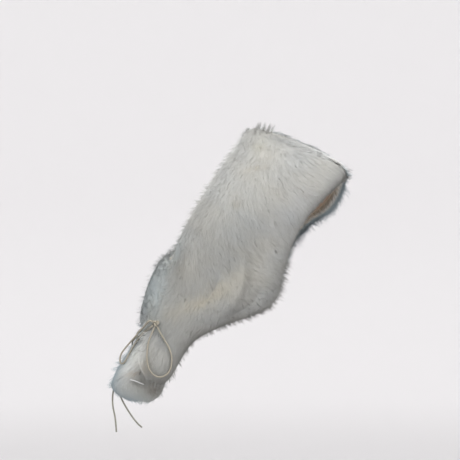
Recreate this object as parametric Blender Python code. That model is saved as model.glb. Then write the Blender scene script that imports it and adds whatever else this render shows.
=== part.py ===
"""A long-pile fur wrap, worn over the left shoulder and tied in a bow at the right hip.

Metres, +Z up, front towards -Y, the wearer's left towards +X. The origin is on the lining's inside,
where the wrap rests on top of the shoulder. A crescent of fur is cut in two halves, which meet in a
seam on the shoulder. Each half is a band that runs from there to the tie and on into a hanging tail.
"""

from collections import namedtuple

import bmesh
import bpy
import numpy as np

# Fur and lining
HALF_SEAM = 0.00015
LINING_GAP = 0.0003
LINING_THICKNESS = 0.0015
PILE_DEPTH = 0.023
RIM_DEPTH = 0.006
RIM_ROUNDING = 0.030
PANEL_COLUMNS = 15
PANEL_ROWS = 44
LINING_SETBACK = 1
FOLD_STEPS = 60

# Tie
TIE_WIDTH = 0.004
TIE_GAP = 0.0003
POINTS_ON_A_TIE = 44
KNOT_CENTRE = (-0.3192, -0.1230, -0.4181)
KNOT_RADIUS = 0.009

# Label, sewn to the longer tail: its two ends are rows and columns of the back half's grid
LABEL_GAP = 0.0003
LABEL_DEPTH = 0.012
LABEL_DROOP = 0.35
LABEL_THICKNESS = 0.001
LABEL_POINTS = 6
LABEL_START = (40.2, 9.2)
LABEL_END = (40.8, 5.3)

Finish = namedtuple("Finish", "colour roughness")
FUR = Finish((0.62, 0.60, 0.55), 0.85)
SATIN = Finish((0.32, 0.22, 0.14), 0.45)
TAPE = Finish((0.60, 0.52, 0.38), 0.50)
RIBBON = Finish((0.80, 0.79, 0.76), 0.60)

Section = namedtuple(
    "Section", "neck_x neck_y neck_z middle_x middle_y middle_z arm_x arm_y arm_z pile"
)
Fold = namedtuple("Fold", "start_row start_across end_row end_across width height")

# One row for each section across the band: where the inner face has its neck-side rim, its middle and
# its arm-side rim, and the share of the fur's full depth there.
FRONT_SECTIONS = [
    Section(-0.102, 0.000, 0.036, 0.026, 0.000, -0.010, 0.136, 0.000, -0.074, 1.00),  # shoulder seam
    Section(-0.112, -0.030, 0.027, 0.017, -0.036, -0.016, 0.130, -0.024, -0.078, 1.00),
    Section(-0.125, -0.056, 0.004, -0.002, -0.070, -0.029, 0.112, -0.040, -0.090, 1.00),
    Section(-0.151, -0.078, -0.033, -0.036, -0.095, -0.068, 0.076, -0.052, -0.122, 1.00),
    Section(-0.180, -0.094, -0.077, -0.070, -0.111, -0.113, 0.042, -0.054, -0.158, 1.00),  # chest
    Section(-0.208, -0.103, -0.124, -0.096, -0.117, -0.159, 0.014, -0.044, -0.197, 1.00),
    Section(-0.234, -0.107, -0.167, -0.120, -0.115, -0.207, -0.007, -0.026, -0.248, 1.00),  # under the arm
    Section(-0.257, -0.106, -0.208, -0.142, -0.111, -0.255, -0.023, -0.016, -0.298, 1.00),
    Section(-0.270, -0.104, -0.245, -0.154, -0.109, -0.296, -0.032, -0.014, -0.344, 1.00),  # waist
    Section(-0.278, -0.102, -0.279, -0.170, -0.111, -0.329, -0.055, -0.032, -0.380, 1.00),
    Section(-0.286, -0.100, -0.312, -0.194, -0.112, -0.358, -0.101, -0.062, -0.401, 0.96),
    Section(-0.294, -0.098, -0.344, -0.221, -0.112, -0.381, -0.148, -0.081, -0.417, 0.92),
    Section(-0.304, -0.096, -0.375, -0.246, -0.109, -0.404, -0.190, -0.090, -0.434, 0.88),
    Section(-0.316, -0.094, -0.404, -0.269, -0.105, -0.429, -0.223, -0.093, -0.453, 0.84),  # tie
    Section(-0.331, -0.092, -0.432, -0.288, -0.103, -0.454, -0.246, -0.094, -0.476, 0.86),
    Section(-0.347, -0.093, -0.462, -0.305, -0.106, -0.483, -0.264, -0.096, -0.503, 0.92),
    Section(-0.355, -0.096, -0.492, -0.317, -0.110, -0.510, -0.278, -0.098, -0.528, 0.95),
    Section(-0.355, -0.099, -0.518, -0.322, -0.111, -0.533, -0.292, -0.101, -0.549, 0.85),
    Section(-0.342, -0.102, -0.538, -0.324, -0.108, -0.551, -0.307, -0.103, -0.561, 0.55),  # tail end
]
BACK_SECTIONS = [
    Section(-0.102, 0.000, 0.036, 0.026, 0.000, -0.010, 0.136, 0.000, -0.074, 1.00),  # shoulder seam
    Section(-0.109, 0.030, 0.025, 0.022, 0.036, -0.020, 0.133, 0.028, -0.089, 1.00),
    Section(-0.120, 0.056, -0.003, 0.005, 0.070, -0.041, 0.120, 0.048, -0.124, 1.00),
    Section(-0.145, 0.078, -0.040, -0.024, 0.095, -0.080, 0.095, 0.062, -0.154, 1.00),
    Section(-0.174, 0.093, -0.086, -0.058, 0.112, -0.128, 0.055, 0.062, -0.179, 1.00),  # blade
    Section(-0.199, 0.101, -0.132, -0.089, 0.119, -0.173, 0.017, 0.046, -0.213, 1.00),
    Section(-0.222, 0.104, -0.171, -0.115, 0.119, -0.219, -0.010, 0.027, -0.252, 1.00),  # under the arm
    Section(-0.239, 0.103, -0.200, -0.139, 0.117, -0.260, -0.025, 0.018, -0.296, 1.00),
    Section(-0.253, 0.098, -0.220, -0.161, 0.114, -0.296, -0.038, 0.020, -0.341, 1.00),  # waist
    Section(-0.264, 0.089, -0.233, -0.185, 0.112, -0.324, -0.067, 0.048, -0.372, 1.00),
    Section(-0.274, 0.077, -0.244, -0.211, 0.108, -0.346, -0.110, 0.078, -0.387, 1.00),
    Section(-0.281, 0.062, -0.251, -0.240, 0.099, -0.360, -0.163, 0.096, -0.399, 1.00),  # low back
    Section(-0.286, 0.044, -0.257, -0.271, 0.084, -0.365, -0.216, 0.100, -0.411, 1.00),
    Section(-0.287, 0.022, -0.262, -0.300, 0.062, -0.365, -0.264, 0.090, -0.422, 1.00),
    Section(-0.287, -0.002, -0.266, -0.320, 0.036, -0.365, -0.300, 0.071, -0.430, 1.00),  # right hip
    Section(-0.286, -0.026, -0.269, -0.330, 0.008, -0.368, -0.323, 0.048, -0.435, 1.00),
    Section(-0.280, -0.050, -0.276, -0.330, -0.018, -0.370, -0.336, 0.025, -0.437, 1.00),
    Section(-0.274, -0.066, -0.293, -0.323, -0.040, -0.376, -0.342, 0.005, -0.437, 0.98),
    Section(-0.276, -0.072, -0.327, -0.316, -0.053, -0.392, -0.346, -0.012, -0.440, 0.94),
    Section(-0.288, -0.073, -0.365, -0.320, -0.056, -0.408, -0.348, -0.025, -0.444, 0.88),
    Section(-0.302, -0.069, -0.404, -0.328, -0.055, -0.429, -0.354, -0.036, -0.453, 0.84),  # tie
    Section(-0.306, -0.063, -0.437, -0.335, -0.055, -0.453, -0.366, -0.043, -0.468, 0.86),
    Section(-0.298, -0.059, -0.471, -0.340, -0.058, -0.482, -0.384, -0.048, -0.491, 0.92),
    Section(-0.289, -0.058, -0.504, -0.344, -0.061, -0.513, -0.402, -0.051, -0.518, 0.97),
    Section(-0.292, -0.060, -0.537, -0.355, -0.064, -0.543, -0.418, -0.055, -0.546, 1.00),
    Section(-0.302, -0.062, -0.567, -0.364, -0.067, -0.570, -0.426, -0.058, -0.572, 0.95),
    Section(-0.313, -0.064, -0.592, -0.364, -0.069, -0.591, -0.415, -0.061, -0.587, 0.75),
    Section(-0.335, -0.066, -0.606, -0.361, -0.069, -0.605, -0.388, -0.065, -0.602, 0.45),  # tail end
]

# Soft folds of the pelt, a ridge where the height is positive and a trough where it is negative.
# Rows count from 0 at the shoulder seam to 1 at the tail's end, and across runs from the neck-side
# rim at 0 to the arm-side rim at 1.
FRONT_FOLDS = [
    Fold(0.44, 0.10, 0.70, 0.30, 0.016, 0.005),
    Fold(0.50, 0.42, 0.72, 0.52, 0.014, -0.005),
    Fold(0.42, 0.55, 0.73, 0.72, 0.016, 0.006),
    Fold(0.52, 0.80, 0.74, 0.88, 0.013, -0.004),
    Fold(0.76, 0.45, 0.95, 0.40, 0.012, -0.004),
]
BACK_FOLDS = [
    Fold(0.40, 0.20, 0.66, 0.28, 0.018, 0.006),
    Fold(0.42, 0.48, 0.68, 0.50, 0.015, -0.005),
    Fold(0.38, 0.72, 0.69, 0.72, 0.018, 0.006),
    Fold(0.74, 0.50, 0.95, 0.55, 0.013, -0.004),
]

# The tie's four strands, from the knot outwards: a loop at each side, which comes back to the knot,
# and two free ends, which pass behind the longer tail and hang below its corner. Columns: x, y, z.
LOOP_RIGHT = [
    (-0.3250, -0.1237, -0.4330),
    (-0.3324, -0.1235, -0.4493),
    (-0.3372, -0.1255, -0.4637),
    (-0.3396, -0.1290, -0.4805),
    (-0.3403, -0.1320, -0.4997),
    (-0.3372, -0.1340, -0.5189),
    (-0.3300, -0.1345, -0.5333),
    (-0.3192, -0.1340, -0.5424),
    (-0.3072, -0.1325, -0.5443),
    (-0.2952, -0.1305, -0.5400),
    (-0.2861, -0.1290, -0.5285),
    (-0.2818, -0.1295, -0.5117),
    (-0.2825, -0.1305, -0.4937),
    (-0.2880, -0.1300, -0.4757),
    (-0.2964, -0.1275, -0.4613),
    (-0.3043, -0.1260, -0.4481),
    (-0.3113, -0.1250, -0.4363),
]
LOOP_LEFT = [
    (-0.3341, -0.1240, -0.4122),
    (-0.3420, -0.1150, -0.4193),
    (-0.3504, -0.1030, -0.4289),
    (-0.3600, -0.0890, -0.4397),
    (-0.3713, -0.0770, -0.4529),
    (-0.3830, -0.0690, -0.4661),
    (-0.3943, -0.0660, -0.4793),
    (-0.4037, -0.0670, -0.4925),
    (-0.4075, -0.0695, -0.5045),
    (-0.4056, -0.0745, -0.5153),
    (-0.3979, -0.0780, -0.5150),
    (-0.3898, -0.0770, -0.5021),
    (-0.3804, -0.0720, -0.4841),
    (-0.3696, -0.0690, -0.4661),
    (-0.3569, -0.0720, -0.4505),
    (-0.3444, -0.0860, -0.4402),
    (-0.3312, -0.1197, -0.4275),
]
END_LEFT = [
    (-0.3264, -0.1116, -0.4208),
    (-0.3370, -0.0880, -0.4290),
    (-0.3492, -0.0715, -0.4397),
    (-0.3588, -0.0655, -0.4488),
    (-0.3710, -0.0585, -0.4565),
    (-0.3785, -0.0480, -0.4660),
    (-0.3800, -0.0400, -0.4790),
    (-0.3850, -0.0400, -0.4950),
    (-0.3930, -0.0425, -0.5115),
    (-0.4010, -0.0455, -0.5270),
    (-0.4092, -0.0490, -0.5450),
    (-0.4175, -0.0525, -0.5640),
    (-0.4241, -0.0560, -0.5837),
    (-0.4260, -0.0580, -0.6029),
    (-0.4248, -0.0590, -0.6221),
    (-0.4200, -0.0595, -0.6461),
    (-0.4176, -0.0600, -0.6677),
    (-0.4166, -0.0600, -0.6821),
]
END_RIGHT = [
    (-0.3285, -0.1143, -0.4123),
    (-0.3400, -0.0900, -0.4150),
    (-0.3504, -0.0680, -0.4296),
    (-0.3600, -0.0560, -0.4373),
    (-0.3670, -0.0450, -0.4460),
    (-0.3690, -0.0360, -0.4570),
    (-0.3690, -0.0350, -0.4720),
    (-0.3720, -0.0380, -0.4880),
    (-0.3790, -0.0410, -0.5050),
    (-0.3865, -0.0435, -0.5210),
    (-0.3945, -0.0460, -0.5370),
    (-0.4020, -0.0490, -0.5540),
    (-0.4075, -0.0520, -0.5710),
    (-0.4094, -0.0545, -0.5861),
    (-0.4044, -0.0560, -0.6029),
    (-0.3912, -0.0570, -0.6269),
    (-0.3768, -0.0575, -0.6485),
    (-0.3648, -0.0580, -0.6629),
    (-0.3552, -0.0580, -0.6713),
]


def clear_scene():
    for thing in list(bpy.data.objects):
        bpy.data.objects.remove(thing)


def smooth_rows(table, count, place_columns):
    """Reads count rows at even steps from a smooth curve through the table's rows."""
    rows = np.array(table)
    first = 2 * rows[0] - rows[1]
    last = 2 * rows[-1] - rows[-2]
    length = np.linalg.norm(np.diff(rows[:, :place_columns], axis=0), axis=1)
    along = np.concatenate([[0], np.cumsum(length)])
    rows = np.vstack([first, rows, last])
    found = []
    for place in np.linspace(0, along[-1], count):
        i = min(np.searchsorted(along, place, side="right") - 1, len(along) - 2)
        u = (place - along[i]) / (along[i + 1] - along[i])
        before, start, end, after = rows[i : i + 4]
        cubic = -before + 3 * start - 3 * end + after
        square = 2 * before - 5 * start + 4 * end - after
        found.append(start + (u * (end - before) + u**2 * square + u**3 * cubic) / 2)
    return np.array(found)


def band_grid(table):
    """The inner face of a half as a grid of points, row by row, and its share of pile."""
    sections = smooth_rows(table, PANEL_ROWS, 9)
    neck, middle, arm = (sections[:, None, i : i + 3] for i in (0, 3, 6))
    across = np.linspace(0, 1, PANEL_COLUMNS)[None, :, None]
    points = neck * (1 - across) * (1 - 2 * across)
    points += middle * 4 * across * (1 - across)
    points += arm * across * (2 * across - 1)
    return points, sections[:, 9]


def grid_normals(points, turn):
    """Unit normals of the grid, pointing out of the wrap and level with the seam at the shoulder."""
    normals = turn * np.cross(np.gradient(points, axis=1), np.gradient(points, axis=0))
    normals[0, :, 1] = 0
    return normals / np.linalg.norm(normals, axis=2)[:, :, None]


def grid_point(points, row, column):
    """The point at a fractional row and column of a grid."""
    i, j = min(int(row), len(points) - 2), min(int(column), points.shape[1] - 2)
    u, v = row - i, column - j
    start = points[i, j] * (1 - v) + points[i, j + 1] * v
    end = points[i + 1, j] * (1 - v) + points[i + 1, j + 1] * v
    return start * (1 - u) + end * u


def add_folds(points, normals, folds):
    """Moves the grid out along each ridge and in along each trough, fading at their ends."""
    last_row, last_column = points.shape[0] - 1, points.shape[1] - 1
    shares = np.linspace(0, 1, FOLD_STEPS)
    moved = points.copy()
    for fold in folds:
        rows = (fold.start_row + (fold.end_row - fold.start_row) * shares) * last_row
        columns = (fold.start_across + (fold.end_across - fold.start_across) * shares) * last_column
        line = np.array([grid_point(points, row, column) for row, column in zip(rows, columns)])
        away = np.linalg.norm(points[:, :, None] - line, axis=3)
        fade = np.sin(np.pi * shares[away.argmin(axis=2)])
        lift = fold.height * fade * np.exp(-((away.min(axis=2) / fold.width) ** 2))
        moved += normals * lift[:, :, None]
    return moved


def depth_of_pile(points, pile):
    """The fur's depth at each point of a grid: full inside, rounded off towards the free rims."""
    widths = np.linalg.norm(np.diff(points, axis=1), axis=2)
    along = np.concatenate([np.zeros((len(points), 1)), np.cumsum(widths, axis=1)], axis=1)
    from_rim = np.minimum(along, along[:, -1:] - along)
    rise = np.clip(from_rim / RIM_ROUNDING, 0, 1)
    rounded = np.sqrt(1 - (1 - rise) ** 2)
    return RIM_DEPTH + (PILE_DEPTH * pile[:, None] - RIM_DEPTH) * rounded


def material(name, finish):
    made = bpy.data.materials.new(name)
    made.use_nodes = True
    shader = made.node_tree.nodes["Principled BSDF"]
    shader.inputs["Base Color"].default_value = (*finish.colour, 1.0)
    shader.inputs["Roughness"].default_value = finish.roughness
    shader.inputs["Metallic"].default_value = 0.0
    return made


def add_object(name, data, finish, group):
    data.materials.append(material(name + "_finish", finish))
    made = bpy.data.objects.new(name, data)
    group.objects.link(made)
    return made


def wall(name, inner, outer, finish, group):
    """A closed wall between two grids of the same size, whose outer side faces outward."""
    rows, columns = inner.shape[:2]
    count = rows * columns
    corners = np.concatenate([inner.reshape(-1, 3), outer.reshape(-1, 3)])
    index = np.arange(count).reshape(rows, columns)
    faces = []
    for i in range(rows - 1):
        for j in range(columns - 1):
            a, b, c, d = index[i, j], index[i, j + 1], index[i + 1, j + 1], index[i + 1, j]
            faces += [(c, b, a), (d, c, a)]
            faces += [(a + count, b + count, c + count), (a + count, c + count, d + count)]
    rim = [*index[0, :], *index[1:, -1], *index[-1, -2::-1], *index[-2:0:-1, 0]]
    for a, b in zip(rim, rim[1:] + rim[:1]):
        faces += [(a, b, b + count), (a, b + count, a + count)]
    mesh = bpy.data.meshes.new(name)
    mesh.from_pydata(corners.tolist(), [], [[int(i) for i in face] for face in faces])
    mesh.shade_smooth()
    add_object(name, mesh, finish, group)


def make_half(side, table, folds, turn, group):
    """One half of the crescent with its lining. Returns the fur's outer grid and its normals."""
    points, pile = band_grid(table)
    points[:, :, 1] += turn * HALF_SEAM
    points = add_folds(points, grid_normals(points, turn), folds)
    normals = grid_normals(points, turn)
    outer = points + normals * depth_of_pile(points, pile)[:, :, None]
    order = slice(None) if turn > 0 else slice(None, None, -1)
    wall("fur_" + side, points[:, order], outer[:, order], FUR, group)
    lined = (slice(0, -LINING_SETBACK), slice(LINING_SETBACK, -LINING_SETBACK))
    near = (points - normals * LINING_GAP)[lined][:, order]
    far = (points - normals * (LINING_GAP + LINING_THICKNESS))[lined][:, order]
    wall("lining_" + side, far, near, SATIN, group)
    return outer, normals


def make_knot(group):
    """The knot of the bow, a round body that the four strands meet."""
    mesh = bpy.data.meshes.new("tie_knot")
    ball = bmesh.new()
    bmesh.ops.create_uvsphere(ball, u_segments=20, v_segments=12, radius=KNOT_RADIUS)
    ball.to_mesh(mesh)
    ball.free()
    mesh.shade_smooth()
    add_object("tie_knot", mesh, TAPE, group).location = KNOT_CENTRE


def beside_knot(place):
    """The point a gap away from the knot's skin, on the straight way to a place."""
    way = np.array(place) - KNOT_CENTRE
    return KNOT_CENTRE + way / np.linalg.norm(way) * (KNOT_RADIUS + TIE_GAP)


def make_strand(name, route, returns, group):
    """A round tube from the knot along a smooth curve through the route's points."""
    places = [beside_knot(route[0]), *route]
    if returns:
        places.append(beside_knot(route[-1]))
    curve = bpy.data.curves.new(name, "CURVE")
    curve.dimensions = "3D"
    curve.bevel_depth = TIE_WIDTH / 2
    curve.bevel_resolution = 2
    curve.use_fill_caps = True
    line = curve.splines.new("POLY")
    line.points.add(POINTS_ON_A_TIE - 1)
    for point, place in zip(line.points, smooth_rows(places, POINTS_ON_A_TIE, 3)):
        point.co = (*place, 1)
    add_object(name, curve, TAPE, group)


def make_label(skin, normals, group):
    """A small flat label that stands out of the fur of the longer tail."""
    places = np.linspace(LABEL_START, LABEL_END, LABEL_POINTS)
    root = np.array([grid_point(skin, row, column) for row, column in places])
    out = np.array([grid_point(normals, row, column) for row, column in places]).mean(axis=0)
    out[2] -= LABEL_DROOP
    out /= np.linalg.norm(out)
    under = np.cross(out, root[-1] - root[0])
    under *= LABEL_THICKNESS / np.linalg.norm(under)
    upper = np.stack([root + out * LABEL_GAP, root + out * (LABEL_GAP + LABEL_DEPTH)], axis=1)
    wall("label_tab", upper, upper + under, RIBBON, group)


def main():
    clear_scene()
    group = bpy.data.collections.new("fur_wrap")
    bpy.context.scene.collection.children.link(group)
    make_half("front", FRONT_SECTIONS, FRONT_FOLDS, -1, group)
    make_label(*make_half("back", BACK_SECTIONS, BACK_FOLDS, 1, group), group)
    make_knot(group)
    make_strand("tie_loop_right", LOOP_RIGHT, True, group)
    make_strand("tie_loop_left", LOOP_LEFT, True, group)
    make_strand("tie_end_right", END_RIGHT, False, group)
    make_strand("tie_end_left", END_LEFT, False, group)


main()
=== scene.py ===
"""The looks of a long-pile fur wrap: dense fur on two pelts, a satin lining, a cord bow and a label.

Metres, +Z up, front towards -Y, left as it is worn towards +X. The tables of sections, folds and
routes are those of the construction, and the same functions turn them into the same surfaces.
"""

import math
from collections import namedtuple

import bpy
import numpy as np
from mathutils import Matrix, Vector, kdtree
from numpy.linalg import norm


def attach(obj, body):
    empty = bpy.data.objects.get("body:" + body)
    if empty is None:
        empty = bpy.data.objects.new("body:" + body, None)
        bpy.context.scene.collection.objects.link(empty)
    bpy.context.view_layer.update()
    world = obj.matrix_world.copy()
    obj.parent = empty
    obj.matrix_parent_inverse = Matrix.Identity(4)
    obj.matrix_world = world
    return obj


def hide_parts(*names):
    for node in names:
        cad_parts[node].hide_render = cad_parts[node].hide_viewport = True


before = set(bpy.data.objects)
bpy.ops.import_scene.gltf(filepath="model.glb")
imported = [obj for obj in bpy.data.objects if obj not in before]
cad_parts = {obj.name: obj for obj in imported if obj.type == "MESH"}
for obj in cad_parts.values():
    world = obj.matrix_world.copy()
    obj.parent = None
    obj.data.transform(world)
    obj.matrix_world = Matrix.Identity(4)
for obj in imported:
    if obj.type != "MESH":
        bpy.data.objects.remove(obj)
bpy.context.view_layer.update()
BODY = "root"

# Surfaces of the wrap, as in the construction, on a grid four times as fine
HALF_SEAM = 0.00015
LINING_GAP = 0.0003
LINING_THICKNESS = 0.0015
LINING_SAG = 0.002
SAG_SPAN = 0.10
PILE_DEPTH = 0.023
RIM_DEPTH = 0.006
RIM_ROUNDING = 0.030
FOLD_STEPS = 60
SECTION_PLACES = 9
FINE_ROWS = 173
FINE_COLUMNS = 57
LINING_SETBACK = 4
PELT_SETBACK = 1
PELT_THICKNESS = 0.0012
UNDERFUR_SHARE = 0.86
# Pelts and lining, which hardly show, are built on every second point of the grid
COARSE = (slice(None, None, 2), slice(None, None, 2))

Half = namedtuple("Half", "table folds nap turn kinds pieces tail_density arm_overhang rim_tint seed")
Kind = namedtuple(
    "Kind",
    "place share reach lift most_depth overhang hairs_in_a_lock pull lock_spread spread rise tint",
)
Surface = namedtuple("Surface", "points normals depth flat from_rim rim_tone sideways")
Roots = namedtuple("Roots", "rows columns places lock lock_count rows_apart columns_apart")
Strokes = namedtuple("Strokes", "angle down over reach lift at_arm")
Look = namedtuple("Look", "scale detail rough rough_spread relief relief_depth")

# One row for each section across the band: x, y and z of the inner face at its neck-side rim, its
# middle and its arm-side rim, and the share of the fur's full depth there.
FRONT_SECTIONS = [
    (-0.102, 0.000, 0.036, 0.026, 0.000, -0.010, 0.136, 0.000, -0.074, 1.00),  # shoulder seam
    (-0.112, -0.030, 0.027, 0.017, -0.036, -0.016, 0.130, -0.024, -0.078, 1.00),
    (-0.125, -0.056, 0.004, -0.002, -0.070, -0.029, 0.112, -0.040, -0.090, 1.00),
    (-0.151, -0.078, -0.033, -0.036, -0.095, -0.068, 0.076, -0.052, -0.122, 1.00),
    (-0.180, -0.094, -0.077, -0.070, -0.111, -0.113, 0.042, -0.054, -0.158, 1.00),  # chest
    (-0.208, -0.103, -0.124, -0.096, -0.117, -0.159, 0.014, -0.044, -0.197, 1.00),
    (-0.234, -0.107, -0.167, -0.120, -0.115, -0.207, -0.007, -0.026, -0.248, 1.00),  # underarm
    (-0.257, -0.106, -0.208, -0.142, -0.111, -0.255, -0.023, -0.016, -0.298, 1.00),
    (-0.270, -0.104, -0.245, -0.154, -0.109, -0.296, -0.032, -0.014, -0.344, 1.00),  # waist
    (-0.278, -0.102, -0.279, -0.170, -0.111, -0.329, -0.055, -0.032, -0.380, 1.00),
    (-0.286, -0.100, -0.312, -0.194, -0.112, -0.358, -0.101, -0.062, -0.401, 0.96),
    (-0.294, -0.098, -0.344, -0.221, -0.112, -0.381, -0.148, -0.081, -0.417, 0.92),
    (-0.304, -0.096, -0.375, -0.246, -0.109, -0.404, -0.190, -0.090, -0.434, 0.88),
    (-0.316, -0.094, -0.404, -0.269, -0.105, -0.429, -0.223, -0.093, -0.453, 0.84),  # tie
    (-0.331, -0.092, -0.432, -0.288, -0.103, -0.454, -0.246, -0.094, -0.476, 0.86),
    (-0.347, -0.093, -0.462, -0.305, -0.106, -0.483, -0.264, -0.096, -0.503, 0.92),
    (-0.355, -0.096, -0.492, -0.317, -0.110, -0.510, -0.278, -0.098, -0.528, 0.95),
    (-0.355, -0.099, -0.518, -0.322, -0.111, -0.533, -0.292, -0.101, -0.549, 0.85),
    (-0.342, -0.102, -0.538, -0.324, -0.108, -0.551, -0.307, -0.103, -0.561, 0.55),  # tail end
]
BACK_SECTIONS = [
    (-0.102, 0.000, 0.036, 0.026, 0.000, -0.010, 0.136, 0.000, -0.074, 1.00),  # shoulder seam
    (-0.109, 0.030, 0.025, 0.022, 0.036, -0.020, 0.133, 0.028, -0.089, 1.00),
    (-0.120, 0.056, -0.003, 0.005, 0.070, -0.041, 0.120, 0.048, -0.124, 1.00),
    (-0.145, 0.078, -0.040, -0.024, 0.095, -0.080, 0.095, 0.062, -0.154, 1.00),
    (-0.174, 0.093, -0.086, -0.058, 0.112, -0.128, 0.055, 0.062, -0.179, 1.00),  # blade
    (-0.199, 0.101, -0.132, -0.089, 0.119, -0.173, 0.017, 0.046, -0.213, 1.00),
    (-0.222, 0.104, -0.171, -0.115, 0.119, -0.219, -0.010, 0.027, -0.252, 1.00),  # underarm
    (-0.239, 0.103, -0.200, -0.139, 0.117, -0.260, -0.025, 0.018, -0.296, 1.00),
    (-0.253, 0.098, -0.220, -0.161, 0.114, -0.296, -0.038, 0.020, -0.341, 1.00),  # waist
    (-0.264, 0.089, -0.233, -0.185, 0.112, -0.324, -0.067, 0.048, -0.372, 1.00),
    (-0.274, 0.077, -0.244, -0.211, 0.108, -0.346, -0.110, 0.078, -0.387, 1.00),
    (-0.281, 0.062, -0.251, -0.240, 0.099, -0.360, -0.163, 0.096, -0.399, 1.00),  # low back
    (-0.286, 0.044, -0.257, -0.271, 0.084, -0.365, -0.216, 0.100, -0.411, 1.00),
    (-0.287, 0.022, -0.262, -0.300, 0.062, -0.365, -0.264, 0.090, -0.422, 1.00),
    (-0.287, -0.002, -0.266, -0.320, 0.036, -0.365, -0.300, 0.071, -0.430, 1.00),  # right hip
    (-0.286, -0.026, -0.269, -0.330, 0.008, -0.368, -0.323, 0.048, -0.435, 1.00),
    (-0.280, -0.050, -0.276, -0.330, -0.018, -0.370, -0.336, 0.025, -0.437, 1.00),
    (-0.274, -0.066, -0.293, -0.323, -0.040, -0.376, -0.342, 0.005, -0.437, 0.98),
    (-0.276, -0.072, -0.327, -0.316, -0.053, -0.392, -0.346, -0.012, -0.440, 0.94),
    (-0.288, -0.073, -0.365, -0.320, -0.056, -0.408, -0.348, -0.025, -0.444, 0.88),
    (-0.302, -0.069, -0.404, -0.328, -0.055, -0.429, -0.354, -0.036, -0.453, 0.84),  # tie
    (-0.306, -0.063, -0.437, -0.335, -0.055, -0.453, -0.366, -0.043, -0.468, 0.86),
    (-0.298, -0.059, -0.471, -0.340, -0.058, -0.482, -0.384, -0.048, -0.491, 0.92),
    (-0.289, -0.058, -0.504, -0.344, -0.061, -0.513, -0.402, -0.051, -0.518, 0.97),
    (-0.292, -0.060, -0.537, -0.355, -0.064, -0.543, -0.418, -0.055, -0.546, 1.00),
    (-0.302, -0.062, -0.567, -0.364, -0.067, -0.570, -0.426, -0.058, -0.572, 0.95),
    (-0.313, -0.064, -0.592, -0.364, -0.069, -0.591, -0.415, -0.061, -0.587, 0.75),
    (-0.335, -0.066, -0.606, -0.361, -0.069, -0.605, -0.388, -0.065, -0.602, 0.45),  # tail end
]

# Soft folds of the pelt: where each starts and where it ends, its width, and its height, which is
# negative in a trough. Places are shares of the way down from the shoulder seam to the tail's end,
# and of the way across from the neck-side rim to the arm-side rim.
FRONT_FOLDS = [
    (0.44, 0.10, 0.70, 0.30, 0.016, 0.005),
    (0.50, 0.42, 0.72, 0.52, 0.014, -0.005),
    (0.42, 0.55, 0.73, 0.72, 0.016, 0.006),
    (0.52, 0.80, 0.74, 0.88, 0.013, -0.004),
    (0.76, 0.45, 0.95, 0.40, 0.012, -0.004),
]
BACK_FOLDS = [
    (0.40, 0.20, 0.66, 0.28, 0.018, 0.006),
    (0.42, 0.48, 0.68, 0.50, 0.015, -0.005),
    (0.38, 0.72, 0.69, 0.72, 0.018, 0.006),
    (0.74, 0.50, 0.95, 0.55, 0.013, -0.004),
]

# The tie's four strands, from the knot outwards: a loop at each side, which comes back to the knot,
# and two free ends, which pass behind the longer tail and hang below its corner. Columns: x, y, z.
LOOP_RIGHT = [
    (-0.3250, -0.1237, -0.4330), (-0.3324, -0.1235, -0.4493), (-0.3372, -0.1255, -0.4637),
    (-0.3396, -0.1290, -0.4805), (-0.3403, -0.1320, -0.4997), (-0.3372, -0.1340, -0.5189),
    (-0.3300, -0.1345, -0.5333), (-0.3192, -0.1340, -0.5424), (-0.3072, -0.1325, -0.5443),
    (-0.2952, -0.1305, -0.5400), (-0.2861, -0.1290, -0.5285), (-0.2818, -0.1295, -0.5117),
    (-0.2825, -0.1305, -0.4937), (-0.2880, -0.1300, -0.4757), (-0.2964, -0.1275, -0.4613),
    (-0.3043, -0.1260, -0.4481), (-0.3113, -0.1250, -0.4363),
]
LOOP_LEFT = [
    (-0.3341, -0.1240, -0.4122), (-0.3420, -0.1150, -0.4193), (-0.3504, -0.1030, -0.4289),
    (-0.3600, -0.0890, -0.4397), (-0.3713, -0.0770, -0.4529), (-0.3830, -0.0690, -0.4661),
    (-0.3943, -0.0660, -0.4793), (-0.4037, -0.0670, -0.4925), (-0.4075, -0.0695, -0.5045),
    (-0.4056, -0.0745, -0.5153), (-0.3979, -0.0780, -0.5150), (-0.3898, -0.0770, -0.5021),
    (-0.3804, -0.0720, -0.4841), (-0.3696, -0.0690, -0.4661), (-0.3569, -0.0720, -0.4505),
    (-0.3444, -0.0860, -0.4402), (-0.3312, -0.1197, -0.4275),
]
END_LEFT = [
    (-0.3264, -0.1116, -0.4208), (-0.3370, -0.0880, -0.4290), (-0.3492, -0.0715, -0.4397),
    (-0.3588, -0.0655, -0.4488), (-0.3710, -0.0585, -0.4565), (-0.3785, -0.0480, -0.4660),
    (-0.3800, -0.0400, -0.4790), (-0.3850, -0.0400, -0.4950), (-0.3930, -0.0425, -0.5115),
    (-0.4010, -0.0455, -0.5270), (-0.4092, -0.0490, -0.5450), (-0.4175, -0.0525, -0.5640),
    (-0.4241, -0.0560, -0.5837), (-0.4260, -0.0580, -0.6029), (-0.4248, -0.0590, -0.6221),
    (-0.4200, -0.0595, -0.6461), (-0.4176, -0.0600, -0.6677), (-0.4166, -0.0600, -0.6821),
]
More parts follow.
